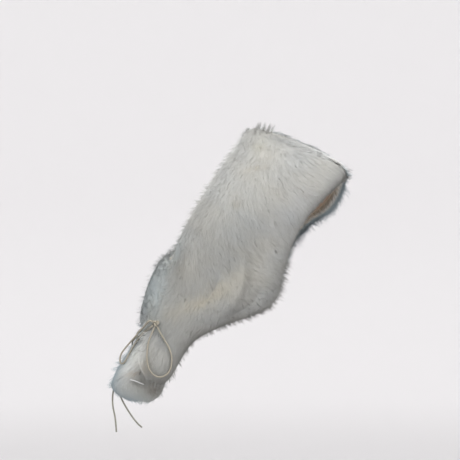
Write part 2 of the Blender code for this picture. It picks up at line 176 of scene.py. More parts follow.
END_RIGHT = [
    (-0.3285, -0.1143, -0.4123), (-0.3400, -0.0900, -0.4150), (-0.3504, -0.0680, -0.4296),
    (-0.3600, -0.0560, -0.4373), (-0.3670, -0.0450, -0.4460), (-0.3690, -0.0360, -0.4570),
    (-0.3690, -0.0350, -0.4720), (-0.3720, -0.0380, -0.4880), (-0.3790, -0.0410, -0.5050),
    (-0.3865, -0.0435, -0.5210), (-0.3945, -0.0460, -0.5370), (-0.4020, -0.0490, -0.5540),
    (-0.4075, -0.0520, -0.5710), (-0.4094, -0.0545, -0.5861), (-0.4044, -0.0560, -0.6029),
    (-0.3912, -0.0570, -0.6269), (-0.3768, -0.0575, -0.6485), (-0.3648, -0.0580, -0.6629),
    (-0.3552, -0.0580, -0.6713),
]

# Which way the hair lies, in degrees from the way down the band towards its arm-side rim: the share
# of the way down, and the angles at the neck-side rim, the middle and the arm-side rim there.
FRONT_NAP = [
    (0.00, -20, 72, 88),
    (0.08, -20, 65, 88),
    (0.20, -20, 55, 86),
    (0.38, -18, 50, 74),
    (0.55, -12, 45, 72),
    (0.70, -5, 25, 55),
    (0.80, -15, 10, 35),
    (1.00, -25, 0, 30),
]
BACK_NAP = [
    (0.00, -20, 72, 88),
    (0.08, -20, 65, 88),
    (0.20, -20, 53, 80),
    (0.40, -20, 42, 65),
    (0.60, -10, 40, 65),
    (0.74, -10, 15, 40),
    (1.00, -25, 0, 25),
]

# Fur: the pile, the few longer guard hairs that stand out of it, a tuft on the shoulder, the fringe
# along the free rims, and the edge of the pelt that is turned in along them. Lift is a share of the
# fur's depth, rise is how soon a hair reaches it, and tint is how much of the rim's painted shade a tip
# takes.
HAIR_KINDS = [
    Kind("pile", 0.78, 0.034, 1.00, PILE_DEPTH, 0.003, 7, 0.05, 4, 7, 3.0, 0.0),
    Kind("guard", 0.06, 0.020, 1.40, PILE_DEPTH, 0.0085, 5, 0.80, 14, 8, 1.0, 0.75),
    Kind("tuft", 0.0012, 0.015, 1.75, PILE_DEPTH, 0.012, 12, 0.92, 16, 4, 1.0, 0.75),
    Kind("fringe", 0.036, 0.028, 1.00, 0.014, 0.007, 6, 0.75, 14, 8, 1.5, 0.75),
    Kind("turned", 0.12, 0.017, 0.90, 0.007, 0.003, 9, 0.30, 12, 12, 2.4, 0.0),
]
# The thin raised crest that the back half has along the shoulder seam, whose tips take nearly all of the
# rim's painted shade
CREST = Kind("crest", 0.014, 0.022, 1.235, PILE_DEPTH, 0.004, 5, 0.20, 6, 5, 6.0, 1.4)
# Kinds that stay as high as at their root, and kinds whose tips take the rim's painted shade
STANDING_KINDS = ("guard", "tuft", "fringe")
SHADED_TIP_KINDS = ("tuft", "fringe", "crest")
# The rows and columns of the grid that a kind keeps to, the angle that it keeps, how much it turns
# from the nap to the nearest rim, and how many times as uneven its height is
FIELDS = {"tuft": ((0, 2), (2, 10)), "crest": ((1, 3), (9, 40))}
SET_ANGLES = {"tuft": 40, "crest": 84}
RIM_LEANS = {"fringe": 0.6, "turned": 1}
UNEVEN_KINDS = {"guard": 4.5, "tuft": 4.5, "fringe": 4.5, "crest": 2.5}
# Colours of the painted shade along the rims and where the fur turns away: dark on the front, blue-grey on
# the back
FRONT_RIM_SHADE = (0.145, 0.142, 0.132)
BACK_RIM_SHADE = (0.25, 0.30, 0.325)
BACK_KINDS = [*HAIR_KINDS, CREST]
HALVES = {
    "front": Half(FRONT_SECTIONS, FRONT_FOLDS, FRONT_NAP, -1, HAIR_KINDS, 3, 1.0, 0.7, FRONT_RIM_SHADE, 11),
    "back": Half(BACK_SECTIONS, BACK_FOLDS, BACK_NAP, 1, BACK_KINDS, 2, 1.6, 2.2, BACK_RIM_SHADE, 23),
}
HAIRS_IN_A_PIECE = 34000
HAIR_WIDTH = 0.0006
# Every hair is a flat ribbon with two corners at each of three levels and one at its tip. Shares of
# its length, its width and the painted shade of the root at each level, and then its corners and faces.
HAIR_SHARES = np.array([0.0, 0.40, 0.75, 1.0])
HAIR_TAPER = np.array([0.80, 1.00, 0.62, 0.0])
ROOT_SHADE_SHARES = np.array([1.0, 0.45, 0.12, 0.0])
CORNER_LEVELS = np.array([0, 0, 1, 1, 2, 2, 3])
CORNER_SIDES = np.array([-1, 1, -1, 1, -1, 1, 0])
HAIR_FACES = np.array([0, 1, 3, 2, 2, 3, 5, 4, 4, 5, 6])
HAIR_FACE_SIZES = [4, 4, 3]
ROOT_LIFT = 0.001
PULL_BEND = 1.5
# Spreads that the hairs of a lock share, and spreads of single hairs
REACH_SPREADS = (0.13, 0.10)
LIFT_SPREADS = np.array((0.025, 0.035))
SHADE_SPREADS = (0.022, 0.035)
WIDTH_SPREAD = 0.15
FACING_SPREAD = 0.48
SOFT_SPREAD = 0.10
SWEEP_ANGLE = 10
SWEEP_SPAN = 0.10
SEAM_LAP = 3
TURNED_STEPS = 4
TURNED_ANGLE = 76.5
GUARD_STEPS = 7
GUARD_DENSITY = 0.25
ARM_OPENING_ROWS = (6, 72)
ARM_FRINGE = 1.5
FRINGE_STEPS = 4
MOST_UNEVEN = 1.18
MOST_OVERHANG = 2.0
TAIL_START = 0.60
DRIFT_WAVES = 7
DRIFT_PACE = 4
BAKE_SPAN = 1.1
BAKE_OFFSET = (0.5, 0.0)

# Colours of the coat, and the painted light and shade laid on it
HAIR_TIP = np.array((0.448, 0.450, 0.435))
# Painted shade: a little darker towards the roots, deep in the pile
ROOT_PAINTED_SHADE = np.array((0.96, 0.95, 0.93))
# Painted shade where the surface turns to the side or down
SIDE_SHADE = 0.90
SIDE_START = 0.50
SIDE_SPAN = 0.50
RIGHT_SHARE = 0.7
# Least share of the rim's painted shade on the tips of tufts, fringe and crest
LEAST_TIP_SHADE = 0.7
# Painted shade deep inside the turned-in edge, and painted light over that edge
INNER_SHADE_COLOUR = np.array((0.15, 0.10, 0.055))
INNER_SHADE_STRENGTH = 0.9
TURNED_FADE = 5
TURNED_PAINTED_LIGHT = 2.2
INNER_SHADE_START = 0.013
INNER_SHADE_END = 0.020
# Painted shade along the rims, in a narrow and a broad part
NARROW_REACH = 0.007
BROAD_RIM = 0.7
# How far in from the rim its painted shade reaches, at shares of the way down the band
REACH_ROWS = (0.0, 0.28, 0.38, 0.50, 0.62, 1.0)
BROAD_REACHES = (0.024, 0.024, 0.042, 0.042, 0.030, 0.024)
NECK_RIM_STRENGTH = 0.15
ARM_RIM_STRENGTH = 1.0
# Painted shade, darker towards the hem
LOW_SHADE = np.array((0.79, 0.79, 0.78))
LOW_START = -0.10
LOW_END = -0.24
WARM_DRIFT = 0.010
WARM_SPAN = 0.07
WARM_SEED = 5
WARM_TINT = np.array((1.0, 0.2, -1.2))
FRONT_END = 0.07
FRONT_FADE = 0.07
# Ovals of another tone on the front, most of them painted light and painted shade, a few the fur's own
# tone, which fade out behind the shoulder: x and z of the middle, the long and the short radius, lean in
# degrees, tint and strength
PATCHES = [
    # a parting: tan roots and painted shade in it
    (-0.075, -0.040, 0.024, 0.003, 12, (0.80, 0.70, 0.56), 0.7),  # parting below the shoulder
    (-0.115, -0.112, 0.110, 0.050, 52, (1.01, 1.00, 0.965), 0.9),  # warmer chest
    # a parting: tan roots and painted shade in it
    (0.012, -0.098, 0.012, 0.003, -22, (0.62, 0.55, 0.50), 0.8),  # parting beside the arm opening
    (0.084, -0.042, 0.010, 0.005, -20, (0.90, 0.80, 0.70), 0.6),
    (-0.130, -0.118, 0.009, 0.006, 0, (0.88, 0.80, 0.66), 0.6),
    (-0.072, 0.002, 0.014, 0.008, 0, (1.00, 0.98, 0.86), 0.6),
    (-0.021, -0.188, 0.020, 0.005, -40, (1.14, 1.15, 1.17), 0.8),  # locks below the arm opening
    (-0.003, -0.204, 0.018, 0.004, -40, (0.66, 0.66, 0.66), 0.7),
    # cream tone and painted light along the ridge of a fold, here and in the next oval
    (-0.172, -0.311, 0.090, 0.020, 43, (1.22, 1.17, 1.07), 0.8),  # cream ridge towards the tie
    (-0.222, -0.352, 0.055, 0.014, 26, (1.16, 1.11, 1.01), 0.8),
    (-0.075, -0.337, 0.008, 0.003, -15, (0.60, 0.56, 0.52), 0.8),
    # painted shade along the hem
    (-0.170, -0.428, 0.095, 0.018, 24, (0.76, 0.75, 0.70), 0.8),  # hem
    # painted shade at the front edge of the arm opening
    (0.055, -0.146, 0.060, 0.011, 57, (0.66, 0.60, 0.53), 0.8),  # front edge of the arm opening
    # painted light on the neck-side edge, cool and bluish where it turns to the side
    (-0.235, -0.205, 0.060, 0.008, 47, (1.09, 1.09, 1.09), 0.6),  # neck side
    (-0.262, -0.244, 0.045, 0.010, 62, (0.84, 0.93, 0.98), 0.7),
    # painted bluish light on the right hip
    (-0.312, -0.335, 0.055, 0.034, 80, (1.32, 1.44, 1.52), 0.9),  # right hip
    # painted light where the middle turns away from the light towards the armhole
    (-0.064, -0.236, 0.095, 0.034, 60, (1.66, 1.66, 1.66), 0.9),  # armhole side of the middle
    # painted light along the top of the shoulder
    (0.032, -0.004, 0.130, 0.014, -27, (1.45, 1.45, 1.46), 0.9),  # top of the shoulder
    # painted light on the tails
    (-0.362, -0.490, 0.045, 0.024, 60, (2.35, 2.37, 2.40), 0.9),  # tails
    # painted shade under the lower edge of the front tail
    (-0.356, -0.520, 0.015, 0.004, 20, (0.72, 0.58, 0.44), 0.8),
    (-0.329, -0.505, 0.016, 0.010, 60, (0.84, 0.74, 0.60), 0.6),
    # painted shadow below the end of the front tail
    (-0.317, -0.560, 0.018, 0.012, 0, (0.34, 0.27, 0.21), 0.9),
]

# Tie
CORD_WIDTH = 0.004
CORD_RINGS = 200
CORD_SIDES = 12
SIDE_HINT = (0.31, 0.22, 0.93)
TIE_GAP = 0.0003
KNOT_CENTRE = (-0.3192, -0.1230, -0.4181)
KNOT_RADIUS = 0.009
KNOT_TURNS = 180
KNOT_SCALE = 0.0021
KNOT_DEPTH = 1.3
KNOT_CORD = 0.0025

# Label
LABEL_GAP = 0.0003
LABEL_DEPTH = 0.012
LABEL_LENGTH = 0.031
LABEL_DROOP = 0.12
LABEL_THICKNESS = 0.001
LABEL_POINTS = 21
LABEL_STEPS = 9
LABEL_START = (40.2, 9.2)
LABEL_END = (40.8, 5.3)
GRID_RATIO = 4

# Finishes: scale and detail of the grain, roughness and how far the grain changes it, and strength
# and depth of the relief
COAT = Look(420.0, 1.0, 0.55, 0.20, 0.0, 0.0)
UNDERFUR = Look(900.0, 3.0, 0.80, 0.10, 0.5, 0.001)
LEATHER = Look(1400.0, 3.0, 0.65, 0.20, 0.4, 0.0004)
SATIN = Look(1.0, 1.0, 0.34, 0.14, 0.35, 0.002)
CORD = Look(60.0, 2.0, 0.38, 0.20, 0.5, 0.0005)
TAPE = Look(1600.0, 1.0, 0.55, 0.20, 0.4, 0.0003)
BACKDROP = Look(0.6, 1.0, 0.85, 0.05, 0.0, 0.0)
COAT_SHADE = (0.92, 0.16)
UNDERFUR_SHADE = (0.80, 0.25, 0.15)
UNDERFUR_BROAD = (120.0, 2.0)
SATIN_BROAD = (14.0, 2.0)
SATIN_WEAVE = (300.0, 300.0, 2400.0)
WEAVE_RELIEF = 0.1
BRAID_SCALE = (900.0, 500.0, 1.0)
BRAID_TURN = (0, 0, 0.7)
BRAID_DISTORTION = 0.4
BROAD_SHARE = 0.6
FINE_SHARE = 0.4
LEATHER_TONES = ((0.42, 0.33, 0.24, 1), (0.62, 0.53, 0.42, 1))
# Brown satin, made darker as painted shade for the inside of the arm opening
SATIN_TONES = ((0.16, 0.095, 0.055, 1), (0.36, 0.25, 0.16, 1))
CORD_TONES = ((0.20, 0.18, 0.14, 1), (0.30, 0.275, 0.22, 1))
# The same cord, darker as painted shade, for the two free ends
SHADED_CORD_TONES = ((0.10, 0.10, 0.08, 1), (0.28, 0.27, 0.225, 1))
# A white label, toned to grey as painted shade under the tail
TAPE_TONES = ((0.56, 0.57, 0.59, 1), (0.72, 0.72, 0.71, 1))
COAT_SHEEN = 0.2
UNDERFUR_SHEEN = 0.3
SATIN_SHEEN = 0.2
# Sockets found by number, because several share a name
MIX_FACTOR, MIX_LOW, MIX_HIGH, MIX_RESULT = 0, 6, 7, 2

# Camera, backdrop and light
CAMERA_PLACE = (-0.144, -4.66, -0.1973)
CAMERA_TILT = 90
LENS = 150
SENSOR = 36
CLIP_END = 60
FLOOR_HEIGHT = -1.4
FLOOR_RADII = (0.001, 2.0, 4.0)
FLOOR_EDGE = 5.4
BACKDROP_BEND = 1.4
BEND_RINGS = 13
BACKDROP_HEIGHT = 4.6
BACKDROP_SEGMENTS = 96
WALL_COLOUR = (0.818, 0.806, 0.813, 1)
WALL_BLEND = 0.28
FLOOR_COLOUR = (0.735, 0.725, 0.73, 1)
NEAR_COLOUR = (0.50, 0.494, 0.497, 1)
NEAR_FLOOR = 2.0
FAR_FLOOR = 5.2
ROOM_COLOUR = (1.0, 1.0, 1.0, 1.0)
ROOM_STRENGTH = 1.0
LIT_PLACE = (-0.14, 0.0, -0.2)
# Lamps: name, place, size and energy
LAMPS = [
    ("soft_box", (0.1, -2.0, 2.2), 3.0, 105),
    ("left_fill", (-2.0, -1.5, 0.2), 2.4, 24),
    ("right_fill", (2.0, -1.8, 0.0), 2.4, 34),
    ("back_box", (-0.3, 2.2, 2.0), 3.0, 60),
]


class Wire:
    """One output of a shader node. Python's operators on it add Math nodes."""

    def __init__(self, tree, output=None):
        self.tree = tree
        self.output = output

    def node(self, kind, settings, inputs, output=0):
        """Adds a node: its settings first, then its inputs as numbers, vectors or wires."""
        made = self.tree.nodes.new("ShaderNode" + kind)
        for name, value in settings.items():
            setattr(made, name, value)
        for key, value in inputs.items():
            if isinstance(value, Wire):
                self.tree.links.new(value.output, made.inputs[key])
            else:
                made.inputs[key].default_value = value
        return Wire(self.tree, made.outputs[output])

    def math(self, operation, *values):
        return self.node("Math", {"operation": operation}, dict(enumerate(values)))

    def __add__(self, other):
        return self.math("ADD", self, other)

    __radd__ = __add__

    def __mul__(self, other):
        return self.math("MULTIPLY", self, other)

    __rmul__ = __mul__

    def place(self):
        """Where a point lies in the piece's own coordinates."""
        return self.node("TexCoord", {}, {}, "Object")

    def noise(self, place, scale, detail):
        return self.node("TexNoise", {}, {"Vector": place, "Scale": scale, "Detail": detail})

    def grey(self):
        """The wire's value as a grey colour."""
        return self.node("CombineColor", {}, {"Red": self, "Green": self, "Blue": self})

    def blend(self, share, low, high, way="MIX"):
        """A colour between two, or one colour laid over another."""
        settings = {"data_type": "RGBA", "blend_type": way}
        return self.node("Mix", settings, {MIX_FACTOR: share, MIX_LOW: low, MIX_HIGH: high}, MIX_RESULT)

    def steps_between(self, low, high):
        """0 where the wire is below low, 1 where it is above high, and a soft step between them."""
        settings = {"interpolation_type": "SMOOTHSTEP"}
        return self.node("MapRange", settings, {"Value": self, "From Min": low, "From Max": high})


def finish(name, paint, sheen=0.0):
    """A material with a fixed sheen. paint makes its changing inputs from a Wire."""
    made = bpy.data.materials.new(name)
    made.use_nodes = True
    tree = made.node_tree
    shader = tree.nodes["Principled BSDF"]
    shader.inputs["Sheen Weight"].default_value = sheen
    for key, wire in paint(Wire(tree)).items():
        tree.links.new(wire.output, shader.inputs[key])
    return made


def distances(line):
    """How far along a line each of its points is."""
    return np.concatenate([[0], np.cumsum(norm(np.diff(line, axis=0), axis=1))])


def smooth_rows(table, count, place_columns):
    """Reads count rows at even steps from a smooth curve through the table's rows."""
    rows = np.array(table)
    first = 2 * rows[0] - rows[1]
    last = 2 * rows[-1] - rows[-2]
    along = distances(rows[:, :place_columns])
    rows = np.vstack([first, rows, last])
    found = []
    for place in np.linspace(0, along[-1], count):
        i = min(np.searchsorted(along, place, side="right") - 1, len(along) - 2)
        u = (place - along[i]) / (along[i + 1] - along[i])
        before, start, end, after = rows[i : i + 4]
        cubic = -before + 3 * start - 3 * end + after
        square = 2 * before - 5 * start + 4 * end - after
        found.append(start + (u * (end - before) + u**2 * square + u**3 * cubic) / 2)
    return np.array(found)


def across_blend(neck, middle, arm, across):
    """A smooth change across the band through its values at the two rims and the middle."""
    inside = middle * 4 * across * (1 - across)
    return neck * (1 - across) * (1 - 2 * across) + inside + arm * across * (2 * across - 1)


def band_grid(table):
    """The inner face of a half as a grid of points, row by row, and its share of pile."""
    sections = smooth_rows(table, FINE_ROWS, SECTION_PLACES)
    neck, middle, arm = (sections[:, None, i : i + 3] for i in (0, 3, 6))
    across = np.linspace(0, 1, FINE_COLUMNS)[None, :, None]
    return across_blend(neck, middle, arm, across), sections[:, SECTION_PLACES]


def grid_normals(points, turn):
    """Unit normals of the grid, pointing out of the wrap and level with the seam at the shoulder."""
    normals = turn * np.cross(np.gradient(points, axis=1), np.gradient(points, axis=0))
    normals[0, :, 1] = 0
    return normals / norm(normals, axis=2)[:, :, None]


def read_grid(grid, rows, columns):
    """Values of a grid at fractional rows and columns, carried straight on beyond its rims."""
    i = np.clip(np.asarray(rows).astype(int), 0, grid.shape[0] - 2)
    j = np.clip(np.asarray(columns).astype(int), 0, grid.shape[1] - 2)
    u, v = (rows - i)[..., None], (columns - j)[..., None]
    start = grid[i, j] * (1 - v) + grid[i, j + 1] * v
    end = grid[i + 1, j] * (1 - v) + grid[i + 1, j + 1] * v
    return start * (1 - u) + end * u


def add_folds(points, normals, folds):
    """Moves the grid out along each ridge and in along each trough, fading at their ends."""
    last_row, last_column = points.shape[0] - 1, points.shape[1] - 1
    shares = np.linspace(0, 1, FOLD_STEPS)
    moved = points.copy()
    for start_row, start_across, end_row, end_across, width, height in folds:
        rows = (start_row + (end_row - start_row) * shares) * last_row
        columns = (start_across + (end_across - start_across) * shares) * last_column
        line = read_grid(points, rows, columns)
        away = norm(points[:, :, None] - line, axis=3)
        fade = np.sin(np.pi * shares[away.argmin(axis=2)])
        lift = height * fade * np.exp(-((away.min(axis=2) / width) ** 2))
        moved += normals * lift[:, :, None]
    return moved


def shade_of_rim(from_rim):
    """How much painted shade each point of the grid takes from the nearby rims."""
    strength = np.linspace(NECK_RIM_STRENGTH, ARM_RIM_STRENGTH, FINE_COLUMNS)[None, :, None]
    reach = np.interp(np.linspace(0, 1, FINE_ROWS), REACH_ROWS, BROAD_REACHES)[:, None, None]
    narrow = np.exp(-((from_rim / NARROW_REACH) ** 2))
    broad = np.exp(-((from_rim / reach) ** 2))
    return strength * (narrow * (1 - BROAD_RIM) + broad * BROAD_RIM)


def turned_away(normals):
    """How far the surface is turned to either side or down, from 0 to 1, where it takes painted shade."""
    to_side = np.maximum(normals[:, :, :1], -RIGHT_SHARE * normals[:, :, :1])
    facing = np.hypot(to_side, np.minimum(normals[:, :, 2:], 0))
    return np.clip((facing - SIDE_START) / SIDE_SPAN, 0, 1)


def make_surface(half):
    """The half's inner face, and at every point of it the normal, the depth of fur, the place on the
    flat pelt, the distance from the free rims, and the painted shade near the rims and where the surface
    turns away."""
    points, pile = band_grid(half.table)
    points[:, :, 1] += half.turn * HALF_SEAM
    points = add_folds(points, grid_normals(points, half.turn), half.folds)
    normals = grid_normals(points, half.turn)
    widths = norm(np.diff(points, axis=1), axis=2)
    along = np.concatenate([np.zeros((len(points), 1)), np.cumsum(widths, axis=1)], axis=1)
    from_rim = np.minimum(along, along[:, -1:] - along)
    rise = np.clip(from_rim / RIM_ROUNDING, 0, 1)
    rounded = np.sqrt(1 - (1 - rise) ** 2)
    depth = RIM_DEPTH + (PILE_DEPTH * pile[:, None] - RIM_DEPTH) * rounded
    down = distances(points[:, FINE_COLUMNS // 2])
    flat = np.stack([along - along[:, -1:] / 2, np.repeat(down[:, None], FINE_COLUMNS, axis=1)], axis=2)
    from_rim = np.minimum(from_rim, down[-1] - flat[:, :, 1])[:, :, None]
    painted_shades = shade_of_rim(from_rim), turned_away(normals)
    return Surface(points, normals, depth[:, :, None], flat, from_rim, *painted_shades)


def drift(places, span, seed):
    """Smooth random values in space, mostly within -1 to 1, which change over a span."""
    random = np.random.default_rng(seed)
    ways = random.normal(size=(3, DRIFT_WAVES)) * DRIFT_PACE / span
    waves = np.sin(places @ ways + random.uniform(0, 2 * np.pi, DRIFT_WAVES))
    return waves.sum(axis=-1) / math.sqrt(DRIFT_WAVES / 2)


def put(name, mesh, material, group):
    """Links a mesh as one piece of the object, with its finish, under the body's empty."""
    mesh.materials.append(material)
    made = bpy.data.objects.new(name, mesh)
    group.objects.link(made)
    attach(made, BODY)
    return made


def bare_mesh(name, corners, loops, sizes, flat=None):
    """A mesh from arrays: its points, the corners of its faces in one row, and the faces' sizes."""
    mesh = bpy.data.meshes.new(name)
    mesh.vertices.add(len(corners))
    mesh.vertices.foreach_set("co", np.asarray(corners, dtype=np.float32).ravel())
    mesh.loops.add(len(loops))
    mesh.loops.foreach_set("vertex_index", np.asarray(loops, dtype=np.int32))
    mesh.polygons.add(len(sizes))
    starts = np.concatenate([[0], np.cumsum(sizes)[:-1]])
    mesh.polygons.foreach_set("loop_start", starts.astype(np.int32))
    mesh.polygons.foreach_set("use_smooth", np.ones(len(sizes), dtype=bool))
    if flat is not None:
        layer = mesh.uv_layers.new(name="OFBake")
        layer.data.foreach_set("uv", np.asarray(flat, dtype=np.float32)[loops].ravel())
    mesh.update(calc_edges=True)
    return mesh


def paint_points(mesh, colours):
    """Gives a mesh the coat's colour at each point, painted light and shade included."""
    layer = mesh.color_attributes.new("coat", "FLOAT_COLOR", "POINT")
    rows = np.ones((len(colours), 4), dtype=np.float32)
    rows[:, :3] = colours
    layer.data.foreach_set("color", rows.ravel())


def wall_mesh(name, inner, outer, flat):
    """A closed wall between two grids of the same size, whose outer side faces outward."""
    rows, columns = inner.shape[:2]
    count = rows * columns
    index = np.arange(count).reshape(rows, columns)
    a, b, c, d = index[:-1, :-1], index[:-1, 1:], index[1:, 1:], index[1:, :-1]
    inside = np.stack([d, c, b, a], axis=2).reshape(-1, 4)
    outside = np.stack([a, b, c, d], axis=2).reshape(-1, 4) + count
    rim = np.concatenate([index[0, :], index[1:, -1], index[-1, -2::-1], index[-2:0:-1, 0]])
    ahead = np.roll(rim, -1)
    edge = np.stack([rim, ahead, ahead + count, rim + count], axis=1)
    faces = np.concatenate([inside, outside, edge])
    corners = np.concatenate([inner.reshape(-1, 3), outer.reshape(-1, 3)])
    places = np.concatenate([flat.reshape(-1, 2)] * 2)
    return bare_mesh(name, corners, faces.ravel(), np.full(len(faces), 4), places)


def bake_places(flat):
    """Places on the flat pelt as shares of the square that its colours are baked on."""
    return flat / BAKE_SPAN + BAKE_OFFSET


def cell_areas(points):
    """The area of each cell of a grid of points."""
    down = norm(np.diff(points, axis=0), axis=2)[:, :-1]
    return down * norm(np.diff(points, axis=1), axis=2)[:-1]


def sow(surface, count, random, density):
    """Random places over a half, as fractional rows and columns, by a grid of densities."""
    chance = cell_areas(surface.points) * density
    edges = np.cumsum(chance.ravel() / chance.sum())
    draws = (np.arange(count) + random.random(count)) / count
    rows, columns = np.divmod(np.searchsorted(edges, draws), chance.shape[1])
    lap = np.where(rows == 0, SEAM_LAP, 0)
    rows = rows - lap + (1 + lap) * random.random(count)
    return rows, columns + random.random(count)


def density_of(place, half, surface):
    """How densely hair grows on each cell of a half: over all of it, with more on a tail and none on
    the very rims, on a field of its own, beside the rims, or on the edge that is turned in there."""
    density = np.ones((FINE_ROWS - 1, FINE_COLUMNS - 1))
    density[0] = 1 + SEAM_LAP
    if place == "turned":
        density[:-TURNED_STEPS, TURNED_STEPS:-TURNED_STEPS] = 0
        return density
    if place == "guard":
        density *= GUARD_DENSITY + surface.sideways[:-1, :-1, 0]
        density[:, :GUARD_STEPS] += 1
        density[:, -GUARD_STEPS:] += 1
    if place in FIELDS:
        rows, columns = FIELDS[place]
        field = np.zeros(density.shape)
        field[slice(*rows), slice(*columns)] = 1
        density *= field
    if place == "fringe":
        density[:-FRINGE_STEPS, FRINGE_STEPS:-FRINGE_STEPS] = 0
        density[slice(*ARM_OPENING_ROWS), -FRINGE_STEPS:] *= ARM_FRINGE
    density[int(TAIL_START * FINE_ROWS) :] *= half.tail_density
    density[:, :PELT_SETBACK] = 0
    density[:, -PELT_SETBACK:] = 0
    density[-PELT_SETBACK:] = 0
    return density


def lock_of_each(lock_places, places):
    """The number of the nearest lock for every place."""
    tree = kdtree.KDTree(len(lock_places))
    for number, place in enumerate(lock_places):
        tree.insert(place, number)
    tree.balance()
    return np.array([tree.find(place)[1] for place in places])


def angle_of_nap(nap, rows, columns):
    """Which way the hair lies at places of a half, in degrees."""
    table = np.array(nap)
    share = rows / (FINE_ROWS - 1)
    neck, middle, arm = (np.interp(share, table[:, 0], table[:, i]) for i in (1, 2, 3))
    return across_blend(neck, middle, arm, columns / (FINE_COLUMNS - 1))


def angle_to_rim(rows, columns):
    """The way to the nearest free rim, in degrees, which the hair of the turned edge takes."""
    to_end = FINE_ROWS - 1 - rows
    to_side = np.minimum(columns, FINE_COLUMNS - 1 - columns)
    side = np.where(columns < FINE_COLUMNS / 2, -TURNED_ANGLE, TURNED_ANGLE)
    return np.where(to_end < to_side, 0, side)


def coat_colours(places, shade):
    """The colour of the coat's tips at places in space, with painted shade lower down, patches mostly of
    painted light and shade, and uneven tone.
    """
    low = np.clip((places[:, 2] - LOW_START) / (LOW_END - LOW_START), 0, 1)[:, None]
    colours = HAIR_TIP * (1 - low * (1 - LOW_SHADE))
    warm = drift(places, WARM_SPAN, WARM_SEED)[:, None]
    colours = colours * (1 + WARM_DRIFT * warm * WARM_TINT)
    in_front = np.clip((FRONT_END - places[:, 1]) / FRONT_FADE, 0, 1)
    for patch_x, patch_z, long, wide, degrees, tint, strength in PATCHES:
        x, z = places[:, 0] - patch_x, places[:, 2] - patch_z
        lean = math.radians(degrees)
        along = (x * math.cos(lean) + z * math.sin(lean)) / long
        over = (z * math.cos(lean) - x * math.sin(lean)) / wide
        share = (strength * np.exp(-(along**2) - over**2) * in_front)[:, None]
        colours = colours * (1 + share * (np.array(tint) - 1))
    return colours * shade[:, None]


def uneven(middle, roots, spreads, random):
    """A value for every hair, part of whose spread the hairs of a lock share."""
    by_lock = random.normal(1, spreads[0], roots.lock_count)[roots.lock]
    return middle * by_lock * random.normal(1, spreads[1], len(roots.rows))


def comb(surface, half, kind, roots, random):
    """Which way every hair lies, how far it reaches before or past the rim, and how high it stands."""
    rows, columns = roots.rows, roots.columns
    spread = random.normal(0, kind.lock_spread, roots.lock_count)[roots.lock]
    spread = spread + random.normal(0, kind.spread, len(rows))
    lean = RIM_LEANS.get(kind.place, 0)
    degrees = (1 - lean) * angle_of_nap(half.nap, rows, columns) + lean * angle_to_rim(rows, columns)
    degrees = SET_ANGLES.get(kind.place, degrees)
    angle = np.radians(degrees + spread + SWEEP_ANGLE * drift(roots.places, SWEEP_SPAN, half.seed))
    row_steps, column_steps = (
        norm(np.gradient(surface.points, axis=axis), axis=2)[:, :, None] for axis in (0, 1)
    )
    down = np.cos(angle) / read_grid(row_steps, rows, columns)[:, 0]
    over = np.sin(angle) / read_grid(column_steps, rows, columns)[:, 0]
    reach = uneven(kind.reach, roots, REACH_SPREADS, random)
    overhang = np.abs(random.normal(0, 1, roots.lock_count))[roots.lock] + random.random(len(rows))
    overhang = kind.overhang * np.minimum(overhang, MOST_OVERHANG)
    at_arm = (rows > ARM_OPENING_ROWS[0]) & (rows < ARM_OPENING_ROWS[1]) & (over > 0)
    longer = min(half.arm_overhang, 1) if kind.place == "guard" else half.arm_overhang
    overhang *= np.where(at_arm, longer, 1)
    room_over = np.where(over > 0, FINE_COLUMNS - 1 - columns, columns) / np.maximum(np.abs(over), 1)
    room_down = np.where(down > 0, (FINE_ROWS - 1 - rows) / np.maximum(np.abs(down), 1), 1)
    reach = np.minimum(reach, np.minimum(room_over, room_down) + overhang)
    lift = uneven(1, roots, UNEVEN_KINDS.get(kind.place, 1) * LIFT_SPREADS, random)
    return Strokes(angle, down, over, reach, kind.lift * np.minimum(lift, MOST_UNEVEN), at_arm)


def trace(surface, half, kind, roots, strokes):
    """The line of every hair from root to tip, with its rows, columns and normals of the surface."""
    t = HAIR_SHARES[None, :]
    pull = kind.pull * t**PULL_BEND
    rows = roots.rows[:, None] + (strokes.down * strokes.reach)[:, None] * t
    rows = rows - roots.rows_apart[:, None] * pull
    columns = roots.columns[:, None] + (strokes.over * strokes.reach)[:, None] * t
    columns = columns - roots.columns_apart[:, None] * pull
    normals = read_grid(surface.normals, rows, columns)
    normals *= (-1 if kind.place == "turned" else 1) / norm(normals, axis=2)[:, :, None]
    depth = read_grid(surface.depth, rows, columns)[:, :, 0]
    if kind.place in STANDING_KINDS:
        depth = np.where(strokes.at_arm[:, None] & (half.turn < 0), depth, depth[:, :1])
    depth = np.clip(depth, RIM_DEPTH, kind.most_depth)
    height = ROOT_LIFT + (depth * strokes.lift[:, None] - ROOT_LIFT) * (1 - (1 - t) ** kind.rise)
    return rows, columns, normals, read_grid(surface.points, rows, columns) + normals * height[:, :, None]


def widen(normals, line, random):
    """Makes every line a tapered ribbon: its corners, how far they are from the line, and normals."""
    count = len(line)
    ways = np.gradient(line, axis=1)
    sides = np.cross(ways, normals + random.normal(0, FACING_SPREAD, (count, 1, 3)))
    facing = (np.cross(sides, ways) * normals).sum(axis=(1, 2))
    sides *= np.sign(facing)[:, None, None] / norm(sides, axis=2)[:, :, None]
    half_width = HAIR_WIDTH / 2 * random.normal(1, WIDTH_SPREAD, count)[:, None] * HAIR_TAPER
    offset = (half_width[:, CORNER_LEVELS] * CORNER_SIDES)[:, :, None]
    corners = line[:, CORNER_LEVELS] + sides[:, CORNER_LEVELS] * offset
    soft = (normals + random.normal(0, SOFT_SPREAD, (count, 1, 3)))[:, CORNER_LEVELS]
    return corners, offset, soft


